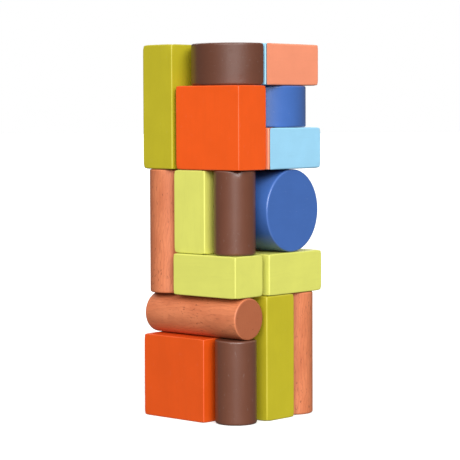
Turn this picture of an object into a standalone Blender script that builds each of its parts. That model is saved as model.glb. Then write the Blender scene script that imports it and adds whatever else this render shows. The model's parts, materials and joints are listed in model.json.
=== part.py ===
"""Tumbling tower: a square stack of painted and stained hardwood blocks in mixed shapes.

The stack is three cells wide, three deep and nine high.  Every block fills whole cells, so
tall posts, slabs, bars, rounds, half-rounds and wedges all pack together.  +Z is up, -Y is
the front, +X the right, and the origin is on the ground in the middle of the stack.
"""

import math
from typing import NamedTuple

import bmesh
import bpy
from mathutils import Matrix, Vector

# ---- Driving dimensions (metres) ------------------------------------------------------------
UNIT = 0.050            # side of one cell of the stack
CELLS_WIDE = 3          # cells along each side of its square plan
AIR = 0.0003            # clearance that each block leaves to the next cell
BOX_EASE = 0.0024       # sanded edges of the straight blocks
RIM_EASE = 0.0034       # sanded rims of the round blocks
EASE_STEPS = 2          # facets across a sanded edge
ROUND_SIDES = 36        # facets around a full round
SHARP_ANGLE = math.radians(30.0)
MILLIMETRE = 0.001
COLLECTION = "tumbling_tower"

# ---- Finishes: linear colour and roughness ---------------------------------------------------
FINISHES = {
    "olive": ((0.50, 0.43, 0.03), 0.38),
    "orange": ((0.82, 0.09, 0.02), 0.38),
    "brown": ((0.16, 0.07, 0.05), 0.34),
    "natural": ((0.70, 0.23, 0.11), 0.60),
    "lime": ((0.70, 0.71, 0.14), 0.40),
    "blue": ((0.06, 0.15, 0.45), 0.36),
    "sky": ((0.33, 0.66, 0.88), 0.38),
    "salmon": ((0.88, 0.30, 0.17), 0.38),
}

RIGHT, BACK = Vector((1.0, 0.0, 0.0)), Vector((0.0, 1.0, 0.0))


# ---- Shapes, each centred on its own box -----------------------------------------------------
def block_size(span):
    """Outer size of a block that fills span cells along X, Y and Z."""
    return Vector(cells * UNIT - AIR for cells in span)


def straight(span, _facing):
    """A post, bar or slab with square corners."""
    shape = bmesh.new()
    bmesh.ops.create_cube(shape, size=1.0)
    bmesh.ops.scale(shape, vec=block_size(span), verts=shape.verts)
    return shape


def turned(span, _facing):
    """A cylinder or disc, whose axis is the side that differs from the other two."""
    size = block_size(span)
    axis = next(i for i in range(3) if span[i - 1] == span[i - 2])
    shape = bmesh.new()
    radius = size[axis - 1] / 2
    bmesh.ops.create_cone(shape, cap_ends=True, segments=ROUND_SIDES, radius1=radius,
                          radius2=radius, depth=size[axis])
    lay_down = {0: Matrix.Rotation(math.pi / 2, 4, "Y"),
                1: Matrix.Rotation(math.pi / 2, 4, "X"),
                2: Matrix.Identity(4)}
    bmesh.ops.transform(shape, matrix=lay_down[axis], verts=shape.verts)
    return shape


def cut_away(shape, point, toward):
    """Saw off all that lies on the toward side of the plane through point, and close the cut."""
    everything = shape.verts[:] + shape.edges[:] + shape.faces[:]
    cut = bmesh.ops.bisect_plane(shape, geom=everything, plane_co=point, plane_no=toward,
                                 clear_outer=True)
    rim = [item for item in cut["geom_cut"] if isinstance(item, bmesh.types.BMEdge)]
    bmesh.ops.contextual_create(shape, geom=rim)


def half_round(span, facing):
    """Half of an upright disc: a flat side, and a curved side that looks towards facing."""
    size = block_size(span)
    depth = abs(size.dot(facing))
    shape = bmesh.new()
    bmesh.ops.create_cone(shape, cap_ends=True, segments=ROUND_SIDES, radius1=depth,
                          radius2=depth, depth=size.z)
    cut_away(shape, Vector(), -facing)
    bmesh.ops.translate(shape, vec=-facing * depth / 2, verts=shape.verts)
    return shape


def wedge(span, facing):
    """Half of a straight block cut from corner to corner; facing looks at its square corner."""
    shape = straight(span, facing)
    size = block_size(span)
    out_of_cut = Vector((facing.x * size.y, facing.y * size.x, 0.0)).normalized()
    cut_away(shape, out_of_cut * AIR / 2, -out_of_cut)
    return shape


class Block(NamedTuple):
    """One block: its node name, shape, finish, lowest cell, cells filled and how it was left."""
    name: str
    shape: object
    finish: str
    cell: tuple                    # first cell along X, Y and Z, counted from left, front, floor
    span: tuple                    # cells filled along X, Y and Z
    nudge: tuple = (0.0, 0.0)      # millimetres right and back of its cell
    turn: float = 0.0              # degrees anticlockwise, seen from above
    facing: Vector = RIGHT         # the curved side of a half-round, the square corner of a wedge


OUTER_CORNER, INNER_CORNER = RIGHT + BACK, -RIGHT - BACK

BLOCKS = [
    # Front slab, from the floor up.
    Block("front_orange_slab_low", straight, "orange", (0, 0, 0), (2, 1, 2), (1.2, -5.0), -1.0),
    Block("front_brown_cylinder_low", turned, "brown", (2, 0, 0), (1, 1, 2), (2.2, -3.0)),
    Block("front_natural_cylinder_low", turned, "natural", (0, 0, 2), (3, 1, 1), (-1.6, -1.0), -1.4),
    Block("front_lime_bar_mid", straight, "lime", (1, 0, 3), (2, 1, 1), (-1.6, -2.6)),
    Block("front_natural_cylinder_mid", turned, "natural", (0, 0, 3), (1, 1, 3), (-4.0, -2.2)),
    Block("front_lime_post_mid", straight, "lime", (1, 0, 4), (1, 1, 2), (-2.4, 0.2)),
    Block("front_brown_cylinder_mid", turned, "brown", (2, 0, 4), (1, 1, 2), (-0.6, -1.2)),
    Block("front_orange_slab_top", straight, "orange", (1, 0, 6), (2, 1, 2), (2.2, -0.6), 0.3),
    Block("front_brown_half_round_top", half_round, "brown", (1, 0, 8), (2, 1, 1), (-0.4, -0.6),
          facing=-BACK),
    Block("front_olive_post_top", straight, "olive", (0, 0, 6), (1, 1, 3), (-2.2, -0.8), -1.5),
    # Right column.
    Block("right_olive_post_low", straight, "olive", (2, 1, 0), (1, 1, 3), (1.2, 1.8), -1.3),
    Block("right_natural_cylinder_low", turned, "natural", (2, 2, 0), (1, 1, 3), (1.4, 3.0)),
    Block("right_lime_bar_mid", straight, "lime", (2, 1, 3), (1, 2, 1), (1.2, 5.0), 0.2),
    Block("right_blue_disc_mid", turned, "blue", (2, 1, 4), (1, 2, 2), (0.0, 0.4), 1.6),
    Block("right_salmon_wedge_low", wedge, "salmon", (2, 1, 6), (1, 2, 1), (3.0, 1.5), 1.6,
          INNER_CORNER),
    Block("right_sky_wedge_low", wedge, "sky", (2, 1, 6), (1, 2, 1), (3.4, 1.5), 1.6, OUTER_CORNER),
    Block("right_blue_half_round_top", half_round, "blue", (2, 1, 7), (1, 2, 1), (3.6, 3.0), -0.6),
    Block("right_sky_wedge_top", wedge, "sky", (2, 1, 8), (1, 2, 1), (0.0, 0.4), 0.8, INNER_CORNER),
    Block("right_salmon_wedge_top", wedge, "salmon", (2, 1, 8), (1, 2, 1), (0.4, 0.4), 0.8,
          OUTER_CORNER),
    # Middle and back, from the floor up.
    Block("core_orange_slab_low", straight, "orange", (1, 1, 0), (1, 2, 2), (0.0, 0.6)),
    Block("core_lime_bar_low", straight, "lime", (1, 1, 2), (1, 2, 1), (0.2, 1.6)),
    Block("left_olive_post_low", straight, "olive", (0, 1, 0), (1, 1, 3), (-1.4, 1.2), 0.8),
    Block("back_natural_cylinder_low", turned, "natural", (0, 2, 0), (1, 1, 3), (-1.0, 2.4)),
    Block("left_brown_cylinder_mid", turned, "brown", (0, 1, 3), (2, 1, 1), (-2.4, 0.4)),
    Block("back_lime_bar_mid", straight, "lime", (0, 2, 3), (2, 1, 1), (-1.0, 1.6), -0.8),
    Block("left_orange_slab_mid", straight, "orange", (0, 1, 4), (2, 1, 2), (-1.0, 0.4)),
    Block("back_blue_disc_mid", turned, "blue", (0, 2, 4), (2, 1, 2), (-2.0, 2.0), 1.0),
    Block("core_lime_bar_top", straight, "lime", (1, 1, 6), (1, 2, 1), (0.2, 1.4)),
    Block("core_brown_cylinder_top", turned, "brown", (1, 1, 7), (1, 2, 1), (0.4, 1.0)),
    Block("core_sky_half_round_top", half_round, "sky", (1, 1, 8), (1, 2, 1), (-1.0, 0.8),
          facing=-RIGHT),
    Block("left_natural_cylinder_top", turned, "natural", (0, 1, 6), (1, 1, 3), (-1.2, 0.4)),
    Block("back_olive_post_top", straight, "olive", (0, 2, 6), (1, 1, 3), (-1.6, 1.8), 1.2),
]


# ---- Assembly --------------------------------------------------------------------------------
def clear_scene():
    """Start from nothing, so the stack is all that the file holds."""
    for old in list(bpy.data.objects):
        bpy.data.objects.remove(old, do_unlink=True)


def make_finish(name, colour, roughness):
    """A satin paint or stain."""
    finish = bpy.data.materials.new(name)
    finish.use_nodes = True
    shader = finish.node_tree.nodes["Principled BSDF"]
    shader.inputs["Base Color"].default_value = (*colour, 1.0)
    shader.inputs["Roughness"].default_value = roughness
    shader.inputs["Metallic"].default_value = 0.0
    return finish


def cell_centre(block):
    """Where the middle of a block lies once it is stacked."""
    size = block_size(block.span)
    plan_x, plan_y = ((block.cell[i] + block.span[i] / 2 - CELLS_WIDE / 2) * UNIT for i in (0, 1))
    return Vector((plan_x + block.nudge[0] * MILLIMETRE,
                   plan_y + block.nudge[1] * MILLIMETRE,
                   block.cell[2] * UNIT + size.z / 2))


def make_block(block, finishes, collection):
    """Build one block, stand it in the stack and sand its edges."""
    shape = block.shape(block.span, block.facing)
    bmesh.ops.recalc_face_normals(shape, faces=shape.faces)
    mesh = bpy.data.meshes.new(block.name)
    shape.to_mesh(mesh)
    shape.free()
    mesh.materials.append(finishes[block.finish])
    mesh.shade_smooth()
    mesh.set_sharp_from_angle(angle=SHARP_ANGLE)

    piece = bpy.data.objects.new(block.name, mesh)
    piece.location = cell_centre(block)
    piece.rotation_euler.z = math.radians(block.turn)
    collection.objects.link(piece)

    ease = piece.modifiers.new("sanded_edges", "BEVEL")
    ease.width = RIM_EASE if block.shape in (turned, half_round) else BOX_EASE
    ease.segments = EASE_STEPS
    ease.limit_method = "ANGLE"
    ease.angle_limit = SHARP_ANGLE
    return piece


def build():
    """Stack every block of the list."""
    clear_scene()
    collection = bpy.data.collections.new(COLLECTION)
    bpy.context.scene.collection.children.link(collection)
    finishes = {name: make_finish(name, *look) for name, look in FINISHES.items()}
    for block in BLOCKS:
        make_block(block, finishes, collection)


build()
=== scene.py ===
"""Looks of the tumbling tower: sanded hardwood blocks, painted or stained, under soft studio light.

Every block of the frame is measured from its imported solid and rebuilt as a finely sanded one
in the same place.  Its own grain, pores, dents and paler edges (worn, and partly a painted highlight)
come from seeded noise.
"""

import json
import math
from typing import NamedTuple

import bpy
import numpy as np
from mathutils import Matrix, Vector


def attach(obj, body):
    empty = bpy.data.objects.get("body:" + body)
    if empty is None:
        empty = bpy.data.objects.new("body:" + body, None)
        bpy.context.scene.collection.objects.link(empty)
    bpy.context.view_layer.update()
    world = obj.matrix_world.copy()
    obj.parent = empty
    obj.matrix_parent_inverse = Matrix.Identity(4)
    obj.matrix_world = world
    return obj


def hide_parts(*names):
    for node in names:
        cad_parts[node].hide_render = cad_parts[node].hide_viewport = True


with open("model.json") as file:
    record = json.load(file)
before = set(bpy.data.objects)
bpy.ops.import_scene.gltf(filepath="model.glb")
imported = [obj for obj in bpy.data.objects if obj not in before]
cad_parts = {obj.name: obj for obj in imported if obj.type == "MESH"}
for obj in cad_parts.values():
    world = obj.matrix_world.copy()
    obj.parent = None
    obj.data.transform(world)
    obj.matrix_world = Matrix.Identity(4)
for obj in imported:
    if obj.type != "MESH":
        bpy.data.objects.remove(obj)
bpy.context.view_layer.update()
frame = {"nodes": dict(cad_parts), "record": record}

# ---- Meshing (metres) -------------------------------------------------------------------------
FLAT_SPACING = 0.0045       # between mesh points on flat sides
ROUND_SPACING = 0.0019      # between mesh points along and around curved sides
FILLET_STEPS = 5            # facets across a sanded edge
HOLD = 0.0004               # narrow strip beside each sanded edge, which keeps the sides flat
SKIN = 0.00006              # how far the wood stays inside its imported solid
WAVE = 0.00005              # how far hand sanding leaves a side from flat
FILLET_WANDER = 0.16        # share by which the width of a sanded edge varies along it
SMALL_ROUND = 0.01          # outline arcs under this radius are sanded corners
SWELL_SIZE = 0.035          # size of the humps that hand sanding leaves
DENT_RADIUS = (0.0014, 0.0030)      # small knocks, smallest to largest
DENT_DEPTH = (0.00006, 0.00022)
MANY_DENTS = 4              # blocks with more knocks than this get a finer mesh on flat sides
KNOCKED_SPACING = ROUND_SPACING * 1.5
NICK_RADIUS = 0.0038        # the one bad knock in a rim
NICK_DEPTH = 0.0016
BLUNT_RADIUS = 0.0036       # how far the rubbing of a corner reaches
BLUNT_DEPTH = (0.0005, 0.0014)
CORNER_ROOM = 0.85          # an upright corner's radius for each unit of fillet
TIGHT_FILLET = 0.75         # a fillet's share of the radius of a corner sharper than itself
FILLET_GROWTH = 0.25        # how fast such a fillet widens away from its corner
WANDER_WAVES = (1, 2, 3, 5)         # waves round an outline, each as high as one over its number
WANDER_HEIGHT = 1.6                 # about the height of those waves together
NOISE_WAVES = 5             # crossing waves in a field of soft noise
NOISE_HEIGHT = 3            # about their height together
SEED = 20

# ---- The wood and its finish (metres) -----------------------------------------------------------
GRAIN_LEAN = (0.02, 0.07)           # slope of the grain against the block
PITH_DISTANCE = (0.035, 0.075)      # from the heart of the tree
TREE_HEIGHT = (1.0, 9.0)            # above the ground
OFF_GRAIN = (0.31, 0.95, 0.05)      # a direction that no block's grain runs in
SHADE_SPREAD = (0.985, 1.01)        # how far blocks of one finish differ
PAINT_RELIEF = 0.00013              # height of the brush streaks and scratches
PORE_RELIEF = 0.00022               # depth of the open pores

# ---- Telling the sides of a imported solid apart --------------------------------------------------
UPRIGHT_SIDE = 0.01         # the most that an upright side's normal rises
LEVEL_SIDE = 0.999          # the least that a level side's normal rises
SAME_ANGLE = math.radians(0.5)      # faces nearer than this in angle and reach are one side
SAME_REACH = 0.0002
LEAST_CAP = 0.0005          # area of level faces that shows a round block to be standing
STANDING = 1.7              # height over width from which a straight block's grain stands

UP = np.array([0.0, 0.0, 1.0])

# ---- Camera and light -------------------------------------------------------------------------
CAMERA_AZIMUTH = math.radians(41.57)    # from straight in front, towards the right
CAMERA_DISTANCE = 2.280                 # from the upright middle line of the stack
CAMERA_HEIGHT = 0.368
CAMERA_SIDESTEP = -0.0026               # to the camera's own right
CAMERA_TILT = math.radians(3.594)       # looking down
CAMERA_ROLL = math.radians(-0.19)
CAMERA_LENS = 146.55                    # millimetres
SENSOR_WIDTH = 36.0                     # millimetres
VIEW_REACH = 200.0
SOFTBOXES = {                           # azimuth, elevation and width in degrees, strength
    "softbox_left": (18.0, 28.0, 34.0, 1.52),
    "softbox_right": (65.0, 28.0, 34.0, 2.37),
    "softbox_middle": (42.0, 18.0, 46.0, 1.20),
    "softbox_back": (228.0, 42.0, 50.0, 1.1),
}
ROOM_GLOW = 0.17                        # white light from all round; seen directly, it is 1
FLOOR_GLOW = 0.40
FLOOR_RADIUS = 30.0
FLOOR_SIDES = 96


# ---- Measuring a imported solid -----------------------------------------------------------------
def points_of(node):
    """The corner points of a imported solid."""
    flat = np.empty(len(node.data.vertices) * 3, np.float32)
    node.data.vertices.foreach_get("co", flat)
    return flat.reshape(-1, 3).astype(float)


def box_of(node):
    """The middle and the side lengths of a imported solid's box."""
    points = points_of(node)
    return (points.min(0) + points.max(0)) / 2, np.ptp(points, axis=0)


def flat_sides(node, count):
    """The largest upright flat sides of a solid, as (area, outward angle, reach), largest first."""
    sides = []
    for face in node.data.polygons:
        if abs(face.normal.z) > UPRIGHT_SIDE:
            continue
        angle = math.atan2(face.normal.y, face.normal.x)
        reach = face.normal.dot(face.center)
        for side in sides:
            swing = math.remainder(angle - side[1], math.tau)
            if abs(swing) < SAME_ANGLE and abs(reach - side[2]) < SAME_REACH:
                side[0] += face.area
                break
        else:
            sides.append([face.area, angle, reach])
    return sorted(sides, reverse=True)[:count]


def direction(angle):
    """The flat unit vector at an angle from +X."""
    return np.array([math.cos(angle), math.sin(angle)])


# ---- Outlines: convex loops of arcs joined by straight runs -------------------------------------
def corner_outline(sides, middle, radius_of):
    """Arcs that round the corners where neighbouring flat sides meet, anticlockwise."""
    arcs = []
    sides = sorted(sides, key=lambda side: side[1])
    for i, (_, angle, reach) in enumerate(sides):
        _, next_angle, next_reach = sides[(i + 1) % len(sides)]
        sweep = (next_angle - angle) % math.tau
        normals = np.array([direction(angle), direction(next_angle)])
        corner = np.linalg.solve(normals, [reach - SKIN, next_reach - SKIN]) - middle
        radius = radius_of(sweep)
        inward = -normals.sum(0) / np.linalg.norm(normals.sum(0))
        arcs.append((corner + inward * radius / math.cos(sweep / 2), radius, angle, sweep))
    return arcs


def circle_outline(radius):
    """One arc all the way round."""
    return [(np.zeros(2), radius - SKIN, 0.0, math.tau)]


def half_disc_outline(radius, flat_angle, corner):
    """A half-disc about the middle of its flat side, whose outward normal is at flat_angle."""
    facing, along = -direction(flat_angle), direction(flat_angle + math.pi / 2)
    reach = math.sqrt((radius - corner) ** 2 - corner ** 2)
    half_bow = math.acos(corner / (radius - corner))
    turn = math.pi - half_bow
    return [(facing * corner + along * reach, corner, flat_angle, turn),
            (np.zeros(2), radius, flat_angle + turn, 2 * half_bow),
            (facing * corner - along * reach, corner, flat_angle - turn, turn)]


def trace(arcs, spacing):
    """Points, outward normals and edge sharpness once round an outline."""
    loop = []
    for i, (centre, radius, start, sweep) in enumerate(arcs):
        small = radius < SMALL_ROUND
        steps = max(FILLET_STEPS, math.ceil(radius * sweep / ROUND_SPACING))
        for k in range(steps + 1):
            normal = direction(start + sweep * k / steps)
            loop.append((centre + normal * radius, normal, math.sin(math.pi * k / steps) * small))
        leave, leave_normal, _ = loop[-1]
        next_centre, next_radius, next_start, _ = arcs[(i + 1) % len(arcs)]
        arrive = next_centre + direction(next_start) * next_radius
        run = np.linalg.norm(arrive - leave)
        if run < HOLD:
            loop.pop()
            continue
        for stop in np.linspace(HOLD, run - HOLD, max(2, math.ceil(run / spacing))):
            loop.append((leave + (arrive - leave) * stop / run, leave_normal, 0.0))
    return [np.array(column) for column in zip(*loop)]


# ---- Lofting an outline into a sanded block -----------------------------------------------------
def wander(count, rng):
    """A smooth closed run of numbers from about -1 to 1."""
    turn = np.linspace(0, math.tau, count, endpoint=False)
    waves = [np.sin(turn * k + rng.uniform(0, math.tau)) / k for k in WANDER_WAVES]
    return sum(waves) / WANDER_HEIGHT


def rings_of(points, normals, half, fillets, spacing):
    """The loft's rings from bottom to top: positions and normals, each rings x points x 3."""
    low, high = fillets
    middle = points.mean(0)
    caps = max(3, math.ceil(np.linalg.norm(points - middle, axis=1).max() / (2 * spacing)))
    places, facings = [], []

    def ring(inset, height, lean, shrink=1.0):
        plan = points - normals * inset[:, None]
        plan = middle + (plan - middle) * shrink
        places.append(np.column_stack([plan, height]))
        facings.append(np.column_stack([normals * np.cos(lean), np.full(len(points), np.sin(lean))]))

    ones = np.ones(len(points))
    for k in range(1, caps):
        ring(low, -half * ones, -math.pi / 2, k / caps)
    ring(low + HOLD * low / low.max(), -half * ones, -math.pi / 2)
    for lean in np.linspace(-math.pi / 2, 0, FILLET_STEPS + 1):
        ring(low * (1 - math.cos(lean)), -half + low * (1 + math.sin(lean)), lean)
    bottom, top = -half + low + HOLD, half - high - HOLD
    levels = max(2, math.ceil(2 * half / spacing))
    for k in range(levels + 1):
        ring(0 * ones, bottom + (top - bottom) * k / levels, 0.0)
    for lean in np.linspace(0, math.pi / 2, FILLET_STEPS + 1):
        ring(high * (1 - math.cos(lean)), half - high * (1 - math.sin(lean)), lean)
    ring(high + HOLD * high / high.max(), half * ones, math.pi / 2)
    for k in range(caps - 1, 0, -1):
        ring(high, half * ones, math.pi / 2, k / caps)
    return np.array(places), np.array(facings)


def loft_faces(rings, around):
    """Quads between the rings and a fan of triangles at each end."""
    faces = []
    for r in range(rings - 1):
        for k in range(around):
            a, b = r * around + k, r * around + (k + 1) % around
            faces.append((a, b, b + around, a + around))
    foot, head = rings * around, rings * around + 1
    last = (rings - 1) * around
    faces += [(foot, (k + 1) % around, k) for k in range(around)]
    faces += [(head, last + k, last + (k + 1) % around) for k in range(around)]
    return faces


def soft_noise(places, scale, rng):
    """A smooth field of about -1 to 1 with features of the given size."""
    field = np.zeros(len(places))
    for _ in range(NOISE_WAVES):
        heading = rng.normal(size=3)
        heading /= np.linalg.norm(heading) * scale
        field += np.sin(places @ heading * math.tau + rng.uniform(0, math.tau))
    return field / NOISE_HEIGHT


def press_dent(places, facings, point, radius, depth):
    """Push the skin in around one knock."""
    gap = np.linalg.norm(places - point, axis=1) / radius
    places -= facings * (depth * np.exp(-gap ** 2))[:, None]


def blunt_corners(places, wood, rng):
    """Rub down the corners where a small outline arc meets either end."""
    for centre, radius, start, sweep in wood.arcs:
        if radius > SMALL_ROUND:
            continue
        out = direction(start + sweep / 2)
        for end in (-1, 1):
            corner = np.array([*(centre + out * radius), end * wood.half])
            slant = np.array([[*out, end]]) / math.sqrt(2)
            press_dent(places, slant, corner, BLUNT_RADIUS, rng.uniform(*BLUNT_DEPTH))


class Wood(NamedTuple):
    """How one block is cut: its outline, half height, place, grain direction and sanding."""
    arcs: list
    half: float
    place: Matrix
    grain: np.ndarray
    fillet: float


def carve(name, wood, rng, dents, spacing, shade, nick):
    """Make the mesh object of one block, with what its material reads stored on its points."""
    points, normals, sharp = trace(wood.arcs, spacing)
    half = wood.half - SKIN
    fillets = []
    for _ in range(2):
        fillet = wood.fillet * (1 + FILLET_WANDER * wander(len(points), rng))
        fillets.append(np.minimum(fillet, room_for_fillet(points, wood)))
    places, facings = rings_of(points, normals, half, fillets, spacing)
    rings, around = places.shape[:2]
    tips = [[*points.mean(0), -half], [*points.mean(0), half]]
    places = np.vstack([places.reshape(-1, 3), tips])
    facings = np.vstack([facings.reshape(-1, 3), [[0, 0, -1.0], [0, 0, 1.0]]])
    upright = np.append(np.tile(sharp, rings), [0.0, 0.0])
    lip = 2 * np.abs(facings[:, 2]) * np.hypot(facings[:, 0], facings[:, 1])

    swell = np.clip(0.5 + 0.5 * soft_noise(places, SWELL_SIZE, rng), 0, 1)
    pressed = places - facings * (WAVE * swell)[:, None]
    blunt_corners(pressed, wood, rng)
    for _ in range(dents):
        knock = places[rng.integers(len(places))]
        press_dent(pressed, facings, knock, rng.uniform(*DENT_RADIUS), rng.uniform(*DENT_DEPTH))
    if nick is not None:
        rim = direction(nick) * wood.arcs[0][1]
        press_dent(pressed, facings, [*rim, half], NICK_RADIUS, NICK_DEPTH)

    mesh = bpy.data.meshes.new(name)
    mesh.from_pydata(pressed, [], loft_faces(rings, around))
    mesh.transform(wood.place)
    mesh.shade_smooth()
    piece = bpy.data.objects.new(name, mesh)
    bpy.context.scene.collection.objects.link(piece)
    store(mesh, "grain", "FLOAT_VECTOR", grain_places(pressed, wood.grain, rng))
    store(mesh, "edge", "FLOAT", np.maximum(upright, lip))
    store(mesh, "end_grain", "FLOAT", np.abs(facings @ wood.grain))
    store(mesh, "shade", "FLOAT", np.full(len(pressed), shade))
    return piece


def room_for_fillet(points, wood):
    """The widest fillet that each outline point has room for, narrow near a sharp corner."""
    room = np.full(len(points), np.inf)
    for centre, radius, _, _ in wood.arcs:
        if radius < wood.fillet:
            away = np.linalg.norm(points - centre, axis=1) - radius
            widened = np.clip(away, 0, None) * FILLET_GROWTH
            room = np.minimum(room, radius * TIGHT_FILLET + widened)
    return room


def grain_places(places, grain, rng):
    """Points as they lay in the tree: Z along the grain, with the pith at the origin."""
    across = np.cross(grain, OFF_GRAIN)
    across /= np.linalg.norm(across)
    tree = places @ np.array([across, np.cross(grain, across), grain]).T
    lean = rng.uniform(*GRAIN_LEAN)
    side = direction(rng.uniform(0, math.tau))
    tree[:, :2] += side * rng.uniform(*PITH_DISTANCE) + np.outer(tree[:, 2], side * lean)
    tree[:, 2] += rng.uniform(*TREE_HEIGHT)
    return tree


def store(mesh, name, kind, values):
    """Keep one value for each point of a mesh, for its material to read."""
    layer = mesh.attributes.new(name, kind, "POINT")
    key = "vector" if kind == "FLOAT_VECTOR" else "value"
    layer.data.foreach_set(key, np.ascontiguousarray(values, np.float32).ravel())


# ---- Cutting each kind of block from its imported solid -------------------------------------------
def upright_place(middle):
    """Where an upright block's own frame stands."""
    return Matrix.Translation(Vector(middle))


def cut_straight(node, fillet):
    """A post, bar or slab: four flat sides, with the grain along its longest edge."""
    middle, size = box_of(node)
    sides = flat_sides(node, 4)
    arcs = corner_outline(sides, middle[:2], lambda sweep: fillet * CORNER_ROOM)
    widest = np.array([*direction(sides[-1][1]), 0.0])
    stands = size[2] > STANDING * min(size[:2])
    return Wood(arcs, size[2] / 2, upright_place(middle), UP if stands else widest, fillet)


def cut_wedge(node, fillet):
    """A wedge: three flat sides, with sharper corners where the cut runs out."""
    def radius_of(sweep):
        bluntness = math.cos(sweep / 2) / math.cos(math.pi / 4)
        return fillet * CORNER_ROOM * min(1.0, bluntness) ** 2

    middle, size = box_of(node)
    sides = flat_sides(node, 3)
    arcs = corner_outline(sides, middle[:2], radius_of)
    long_leg = direction(sides[1][1] + math.pi / 2)
    return Wood(arcs, size[2] / 2, upright_place(middle), np.array([*long_leg, 0.0]), fillet)


def cut_half_round(node, fillet):
    """A half-round: one flat side and a half-disc in front of it."""
    points = points_of(node)
    _, angle, reach = flat_sides(node, 1)[0]
    across, along = direction(angle), direction(angle + math.pi / 2)
    strip = points[:, :2] @ along
    centre = across * (reach - SKIN) + along * (strip.min() + strip.max()) / 2
    radius = reach - (points[:, :2] @ across).min() - 2 * SKIN
    low, high = points[:, 2].min(), points[:, 2].max()
    arcs = half_disc_outline(radius, angle, fillet * CORNER_ROOM)
    place = upright_place([*centre, (low + high) / 2])
    return Wood(arcs, (high - low) / 2, place, np.array([*along, 0.0]), fillet)


def cut_turned(node, fillet):
    """A cylinder or disc, standing or lying, with the grain along a cylinder and across a disc."""
    middle, size = box_of(node)
    level = sum(face.area for face in node.data.polygons if abs(face.normal.z) > LEVEL_SIDE)
    if level > LEAST_CAP:
        radius, half, place = (size[0] + size[1]) / 4, size[2] / 2, upright_place(middle)
    else:
        caps = flat_sides(node, 2)
        radius, half = size[2] / 2, (caps[0][2] + caps[1][2]) / 2
        axis = Vector([*direction(caps[0][1]), 0.0])
        place = Matrix.Translation(middle) @ axis.to_track_quat("Z", "Y").to_matrix().to_4x4()
    grain = UP if half > radius else np.array([1.0, 0.0, 0.0])
    return Wood(circle_outline(radius), half, place, grain, fillet)


# ---- Materials ----------------------------------------------------------------------------------
class Shader:
    """A material's node tree, with short calls for the nodes that wood and paint need."""

    def __init__(self, name):
        self.material = bpy.data.materials.new(name)
        self.material.use_nodes = True
        self.tree = self.material.node_tree
        self.surface = self.tree.nodes["Principled BSDF"]

    def node(self, kind, inputs=(), **settings):
        """Add a node, set it up and fill its inputs with sockets or plain values."""
        made = self.tree.nodes.new("ShaderNode" + kind)
        for key, value in settings.items():
            setattr(made, key, value)
        for key, value in dict(inputs).items():
            self.fill(made.inputs[key], value)
        return made

    def fill(self, socket, value):
        """Link a socket to an input, or set the input's own value."""
        if isinstance(value, bpy.types.NodeSocket):
            self.tree.links.new(value, socket)
        else:
            socket.default_value = value

    def stored(self, name, output="Fac"):
        """What carve stored on the block's points."""
        return self.node("Attribute", attribute_name=name).outputs[output]

    def stretched(self, vector, scale):
        """Coordinates scaled along each axis."""
        return self.node("VectorMath", {0: vector, 1: scale}, operation="MULTIPLY").outputs[0]

    def noise(self, vector, scale, detail=2.0, roughness=0.5):
        """Smooth noise from 0 to 1, with about scale features to the metre."""
        inputs = {"Vector": vector, "Scale": scale, "Detail": detail, "Roughness": roughness}
        return self.node("TexNoise", inputs).outputs["Fac"]

    def math(self, operation, first, second=0.0):
        """One sum."""
        return self.node("Math", {0: first, 1: second}, operation=operation).outputs[0]

    def add_up(self, start, *terms):
        """A start value and each term's socket times its weight."""
        total = start
        for socket, weight in terms:
            inputs = {0: socket, 1: weight, 2: total}
            total = self.node("Math", inputs, operation="MULTIPLY_ADD").outputs[0]
        return total

    def between(self, value, low, high, to_low=0.0, to_high=1.0):
        """A soft step from to_low at low to to_high at high."""
        inputs = {"Value": value, "From Min": low, "From Max": high, "To Min": to_low,
                  "To Max": to_high}
        return self.node("MapRange", inputs, interpolation_type="SMOOTHSTEP").outputs[0]

    def mix(self, share, first, second, blend="MIX"):
        """Blend two colours."""
        made = self.node("Mix", data_type="RGBA", blend_type=blend)
        for socket, value in zip([made.inputs[0], made.inputs[6], made.inputs[7]],
                                 [share, first, second]):
            self.fill(socket, value)
        return made.outputs[2]

    def bump(self, height, strength, distance):
        """Relief from a height."""
        inputs = {"Height": height, "Strength": strength, "Distance": distance}
        return self.node("Bump", inputs).outputs[0]


def opaque(colour):
    """A linear colour as a shader takes it."""
    return (*colour, 1.0)


def scaled(colour, share):
    """A colour made darker or lighter."""
    return tuple(min(1.0, channel * share) for channel in colour)


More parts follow.
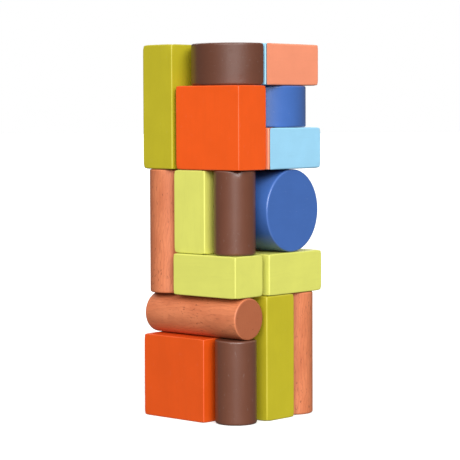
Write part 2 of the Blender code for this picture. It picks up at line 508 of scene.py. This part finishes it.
def paint(name, colour, roughness, coat, knocks=0.0):
    """Satin paint on wood: the grain shows faintly through, and the edges are paler, partly from
    rubbed paint and partly as a painted highlight.
    """
    shader = Shader(name)
    grain, edge = shader.stored("grain", "Vector"), shader.stored("edge")
    along = shader.stretched(grain, (1.0, 1.0, 0.07))
    streaks = shader.noise(along, 420.0, detail=4.0, roughness=0.62)
    bands = shader.noise(along, 95.0, detail=2.0)
    clouds = shader.noise(grain, 30.0, detail=3.0, roughness=0.55)
    nibs = shader.noise(grain, 1500.0, detail=1.0)
    scuffs = shader.noise(shader.stretched(grain, (1.0, 0.45, 0.8)), 260.0, detail=5.0, roughness=0.7)
    scratches = shader.noise(shader.stretched(grain, (1.0, 0.8, 0.3)), 480.0, detail=2.0)
    scratched = shader.between(scratches, 0.70 - 0.03 * knocks, 0.76 - 0.03 * knocks)

    tone = shader.mix(shader.between(clouds, 0.3, 0.7), opaque(scaled(colour, 0.97)),
                      opaque(scaled(colour, 1.02)))
    tone = shader.mix(shader.between(bands, 0.35, 0.75, 0.0, 0.22), tone,
                      opaque(scaled(colour, 0.90)))
    tone = shader.mix(shader.between(streaks, 0.54, 0.72, 0.0, 0.22 + 0.2 * knocks), tone,
                      opaque(scaled(colour, 0.84)))
    pale = tuple(channel + (1 - channel) * 0.05 for channel in colour)
    # Paler edges: paint rubbed thin, and partly a painted highlight along the rounded edges.
    rubbed_and_highlit = shader.math("MULTIPLY", shader.between(edge, 0.45, 1.0),
                         shader.between(clouds, 0.25, 0.75, 0.2, 0.8))
    tone = shader.mix(rubbed_and_highlit, tone, opaque(pale))
    scuffed = shader.between(scuffs, 0.64, 0.76)
    tone = shader.mix(shader.math("MULTIPLY", scuffed, 0.15), tone, opaque(pale))
    tone = shader.mix(shader.math("MULTIPLY", scratched, 0.6), tone, opaque(pale))
    tone = shader.mix(1.0, tone, shader.stored("shade", "Color"), "MULTIPLY")

    height = shader.add_up(0.0, (streaks, 0.6), (nibs, 0.22), (scuffed, -0.3), (scratched, -0.8))
    rough = shader.add_up(roughness - 0.05, (clouds, 0.10), (scuffed, 0.18), (scratched, 0.1))
    surface = shader.surface.inputs
    shader.fill(surface["Base Color"], tone)
    shader.fill(surface["Roughness"], rough)
    shader.fill(surface["Normal"], shader.bump(height, 0.35 + 0.15 * knocks, PAINT_RELIEF))
    surface["Coat Weight"].default_value = coat
    surface["Coat Roughness"].default_value = 0.2
    surface["Specular IOR Level"].default_value = 0.45
    return shader.material


def stain(name, light, dark, pore):
    """Stained open-grained wood: growth rings, fibres, pores and thirsty end grain."""
    shader = Shader(name)
    grain, edge = shader.stored("grain", "Vector"), shader.stored("edge")
    end = shader.between(shader.stored("end_grain"), 0.55, 0.9)
    warp = shader.noise(shader.stretched(grain, (1.0, 1.0, 0.6)), 38.0, detail=2.0)
    radius = shader.node("VectorMath", {0: shader.stretched(grain, (1.0, 1.0, 0.0))},
                         operation="LENGTH").outputs["Value"]
    ring = shader.math("FRACT", shader.add_up(0.0, (radius, 260.0), (warp, 4.5)))
    late = shader.math("MULTIPLY", shader.between(ring, 0.45, 0.97),
                       shader.between(ring, 0.97, 1.0, 1.0, 0.0))
    long = shader.stretched(grain, (1.0, 1.0, 0.045))
    fibres = shader.noise(long, 900.0, detail=3.0, roughness=0.6)
    clouds = shader.noise(shader.stretched(grain, (1.0, 1.0, 0.4)), 42.0, detail=4.0, roughness=0.6)
    vessels = shader.noise(shader.stretched(grain, (1.0, 1.0, 0.12)), 1150.0, detail=1.0)
    slits = shader.between(shader.add_up(0.0, (vessels, 1.0), (late, -0.03)), 0.29, 0.36, 1.0, 0.0)
    wide = shader.noise(shader.stretched(grain, (1.0, 1.0, 0.35)), 520.0, detail=1.0)
    patches = shader.between(shader.noise(grain, 17.0, detail=1.0), 0.40, 0.62, -0.05, 0.045)
    flecks = shader.between(shader.math("SUBTRACT", wide, patches), 0.25, 0.31, 1.0, 0.0)

    tone = shader.mix(shader.between(clouds, 0.25, 0.75), opaque(dark), opaque(light))
    tone = shader.mix(shader.math("MULTIPLY", late, 0.38), tone, opaque(scaled(dark, 0.86)))
    tone = shader.mix(shader.between(fibres, 0.40, 0.75, 0.0, 0.20), tone, opaque(scaled(dark, 0.8)))
    tone = shader.mix(shader.math("MULTIPLY", end, 0.85), tone, opaque(scaled(dark, 0.66)))
    # Lighter edges: stain sanded through, and partly a painted highlight along the rims.
    rubbed_and_highlit = shader.math("MULTIPLY", shader.between(edge, 0.5, 1.0), 0.3)
    tone = shader.mix(rubbed_and_highlit, tone, opaque(scaled(light, 1.06)))
    tone = shader.mix(shader.math("MULTIPLY", slits, 0.35), tone, opaque(pore))
    tone = shader.mix(shader.math("MULTIPLY", flecks, 0.62), tone, opaque(scaled(pore, 0.8)))
    tone = shader.mix(1.0, tone, shader.stored("shade", "Color"), "MULTIPLY")

    height = shader.add_up(0.0, (slits, -0.7), (flecks, -1.0), (fibres, 0.3))
    surface = shader.surface.inputs
    shader.fill(surface["Base Color"], tone)
    shader.fill(surface["Roughness"], shader.add_up(0.46, (clouds, 0.14)))
    shader.fill(surface["Normal"], shader.bump(height, 0.5, PORE_RELIEF))
    surface["Specular IOR Level"].default_value = 0.4
    return shader.material


# Finishes by the record's slot: the width of the sanded edges, the number of knocks and the
# material, with linear colours.
FINISHES = {
    "olive_paint": (0.0017, 3, paint("olive_paint", (0.49, 0.425, 0.015), 0.48, 0.0)),
    "orange_paint": (0.0013, 4, paint("orange_paint", (0.83, 0.094, 0.004), 0.46, 0.03)),
    "brown_paint": (0.0024, 9, paint("brown_paint", (0.140, 0.048, 0.026), 0.38, 0.2, knocks=1.0)),
    "natural_wood": (0.0022, 6, stain("natural_wood", (0.72, 0.235, 0.102), (0.55, 0.155, 0.064),
                                      (0.26, 0.06, 0.026))),
    "lime_paint": (0.0016, 3, paint("lime_paint", (0.68, 0.685, 0.135), 0.46, 0.05)),
    "blue_paint": (0.0020, 3, paint("blue_paint", (0.050, 0.137, 0.43), 0.34, 0.32)),
    "sky_paint": (0.0019, 2, paint("sky_paint", (0.33, 0.66, 0.88), 0.44, 0.05)),
    "salmon_paint": (0.0021, 2, paint("salmon_paint", (0.90, 0.30, 0.165), 0.44, 0.05)),
}
# Blocks made a little darker than the others of their finish.
SHADES = {"front_orange_slab_low": 0.85, "front_brown_half_round_top": 0.82,
          "front_natural_cylinder_mid": 0.98}
# Standing cylinders with a bad knock in the top rim, and where round it, measured from +X.
NICKS = {"front_brown_cylinder_mid": math.radians(-41.0)}


# ---- Building every block -----------------------------------------------------------------------
def cutter_of(name):
    """The function that cuts the kind of block that a node's name says."""
    for word, cutter in (("half_round", cut_half_round), ("wedge", cut_wedge),
                         ("cylinder", cut_turned), ("disc", cut_turned)):
        if word in name:
            return cutter
    return cut_straight


def build_blocks():
    """Cut, finish and place the visible block of every node."""
    slots = {part["node"]: part["material_slot"] for part in frame["record"]["subparts"]}
    bodies = frame["record"]["behaviour"]["bodies"]
    body_of = {node: body for body, nodes in bodies.items() for node in nodes}
    for index, name in enumerate(sorted(frame["nodes"])):
        rng = np.random.default_rng(SEED + index)
        fillet, dents, material = FINISHES[slots[name]]
        wood = cutter_of(name)(frame["nodes"][name], fillet)
        spacing = KNOCKED_SPACING if dents > MANY_DENTS else FLAT_SPACING
        shade = SHADES.get(name, 1.0) * rng.uniform(*SHADE_SPREAD)
        piece = carve(name + "_block", wood, rng, dents, spacing, shade, NICKS.get(name))
        piece.data.materials.append(material)
        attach(piece, body_of[name])
        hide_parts(name)


def lay_floor():
    """A plain white floor that reaches far past the view and glows a little, like lit paper."""
    bpy.ops.mesh.primitive_circle_add(vertices=FLOOR_SIDES, radius=FLOOR_RADIUS, fill_type="NGON")
    floor = bpy.context.object
    floor.name = "floor"
    shader = Shader("floor_paper")
    place = shader.node("NewGeometry").outputs["Position"]
    speckle = shader.noise(place, 60.0, detail=4.0)
    tone = shader.mix(speckle, opaque((0.93, 0.93, 0.925)), opaque((0.95, 0.95, 0.945)))
    shader.fill(shader.surface.inputs["Base Color"], tone)
    shader.fill(shader.surface.inputs["Emission Color"], tone)
    shader.surface.inputs["Emission Strength"].default_value = FLOOR_GLOW
    shader.surface.inputs["Roughness"].default_value = 0.9
    floor.data.materials.append(shader.material)
    floor.visible_diffuse = floor.visible_glossy = False


def hang_softbox(name, azimuth, elevation, spread, strength):
    """A far, wide, soft light: its direction and its apparent width in degrees."""
    a, e = math.radians(azimuth), math.radians(elevation)
    away = Vector((math.sin(a) * math.cos(e), -math.cos(a) * math.cos(e), math.sin(e)))
    lamp = bpy.data.objects.new(name, bpy.data.lights.new(name, "SUN"))
    lamp.data.angle = math.radians(spread)
    lamp.data.energy = strength
    lamp.rotation_euler = away.to_track_quat("Z", "Y").to_euler()
    bpy.context.scene.collection.objects.link(lamp)


def light_studio():
    """Three softboxes on the camera's side, one behind the stack, and a soft glow all round."""
    for name, setting in SOFTBOXES.items():
        hang_softbox(name, *setting)
    world = bpy.data.worlds.new("studio")
    world.use_nodes = True
    tree = world.node_tree
    seen = tree.nodes.new("ShaderNodeLightPath").outputs["Is Camera Ray"]
    glow = tree.nodes.new("ShaderNodeMapRange")
    glow.inputs["To Min"].default_value = ROOM_GLOW
    tree.links.new(seen, glow.inputs["Value"])
    tree.nodes["Background"].inputs["Color"].default_value = (1.0, 1.0, 1.0, 1.0)
    tree.links.new(glow.outputs[0], tree.nodes["Background"].inputs["Strength"])
    bpy.context.scene.world = world
    bpy.context.scene.view_settings.view_transform = "Standard"


def set_camera():
    """A long lens, a little below the top of the stack and looking slightly down."""
    sine, cosine = math.sin(CAMERA_AZIMUTH), math.cos(CAMERA_AZIMUTH)
    right = Vector((cosine, sine, 0.0))
    level = Vector((-sine, cosine, 0.0))
    forward = level * math.cos(CAMERA_TILT) - Vector(UP) * math.sin(CAMERA_TILT)
    turn = Matrix((right, right.cross(forward), -forward)).transposed()
    camera = bpy.data.objects.new("camera", bpy.data.cameras.new("camera"))
    camera.data.sensor_width = SENSOR_WIDTH
    camera.data.lens = CAMERA_LENS
    camera.data.clip_end = VIEW_REACH
    camera.location = right * CAMERA_SIDESTEP - level * CAMERA_DISTANCE + Vector(UP) * CAMERA_HEIGHT
    camera.rotation_euler = (turn @ Matrix.Rotation(CAMERA_ROLL, 3, "Z")).to_euler()
    bpy.context.scene.collection.objects.link(camera)
    bpy.context.scene.camera = camera


build_blocks()
lay_floor()
light_studio()
set_camera()
